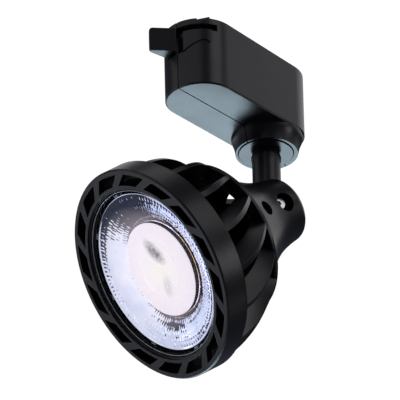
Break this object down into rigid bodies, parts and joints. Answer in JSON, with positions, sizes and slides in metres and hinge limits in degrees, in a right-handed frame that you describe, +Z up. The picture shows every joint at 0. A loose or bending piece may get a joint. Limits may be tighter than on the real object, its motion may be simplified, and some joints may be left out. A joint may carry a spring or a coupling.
{
  "type": "track spotlight",
  "caption": "Adjustable track spotlight: adapter box with latch lever, turning stem, and a tilting round head with slotted bezel, turbine fins and bowl reflector.",
  "frame": {"origin": "on the adapter's top face, on the axis that the stem turns about", "axes": "+Z up out of the track face, +X along the box towards its stem end, -Y the near side"},
  "size_m": [0.1049, 0.0978, 0.166],
  "materials": {
    "housing_black": "satin moulded",
    "coat_black": "satin powder coat",
    "anodised_black": "black anodised",
    "steel": "bright plated",
    "black_steel": "black oxide",
    "brass": "bright",
    "copper": "enamelled winding wire",
    "bush_grey": "smooth moulded",
    "nylon": "natural nylon",
    "board_green": "laminate with solder mask",
    "ferrite": "sintered ferrite",
    "capacitor_sleeve": "shrink sleeve",
    "chip_black": "moulded epoxy",
    "wire_red": "insulated lead",
    "clear_glass": "clear, polished edge",
    "clear_plastic": "clear moulded",
    "gasket_black": "soft",
    "bright_metal": "bright hammered reflector",
    "frosted_optic": "lit frosted lens",
    "holder_grey": "dark moulded",
    "ceramic_white": "white ceramic substrate",
    "phosphor": "silicone with phosphor",
    "pad_grey": "thermal pad"
  },
  "bodies": {
    "adapter": {"adapter_shell_near": "housing_black", "adapter_shell_far": "housing_black", "shell_screws": "steel", "top_plate": "housing_black", "top_plate_screws": "steel", "earth_spring": "brass", "collar_bush": "bush_grey", "driver_board": "board_green", "driver_transformer": "ferrite", "driver_coil": "copper", "driver_capacitors": "capacitor_sleeve", "driver_chips": "chip_black"},
    "latch": {"turret_lever": "housing_black", "lock_wing": "steel", "contact_blades": "brass"},
    "stem": {"stem_tube": "coat_black", "stem_nut": "steel", "friction_washer": "steel", "stop_ring": "steel", "stem_wires": "wire_red", "stem_knuckle": "coat_black", "pivot_washers": "nylon"},
    "head": {"front_ring": "coat_black", "rear_rim": "coat_black", "cooling_fins": "coat_black", "neck_casting": "coat_black", "pivot_screw": "steel", "pivot_nut": "steel", "earth_screw": "black_steel", "lens_glass": "clear_glass", "lens_gasket": "gasket_black", "lens_clips": "clear_plastic", "reflector": "bright_metal", "centre_optic": "frosted_optic", "optic_holder": "holder_grey", "led_plate": "anodised_black", "heat_core": "anodised_black", "led_board": "ceramic_white", "led_emitter": "phosphor", "thermal_pad": "pad_grey", "head_screws": "black_steel", "head_wires": "wire_red"}
  },
  "joints": [
    {"name": "latch_turn", "type": "hinge", "parent": "adapter", "child": "latch", "pos_m": [-0.0453, 0, 0], "axis": [0, 0, 1], "range_deg": [0, 75]},
    {"name": "stem_turn", "type": "hinge", "parent": "adapter", "child": "stem", "pos_m": [0, 0, 0], "axis": [0, 0, 1], "range_deg": [-133.3, 186.7]},
    {"name": "head_tilt", "type": "hinge", "parent": "stem", "child": "head", "pos_m": [0, 0, -0.0738], "axis": [0.4493, 0.8934, 0], "range_deg": [-53.4, 21.6]}
  ]
}
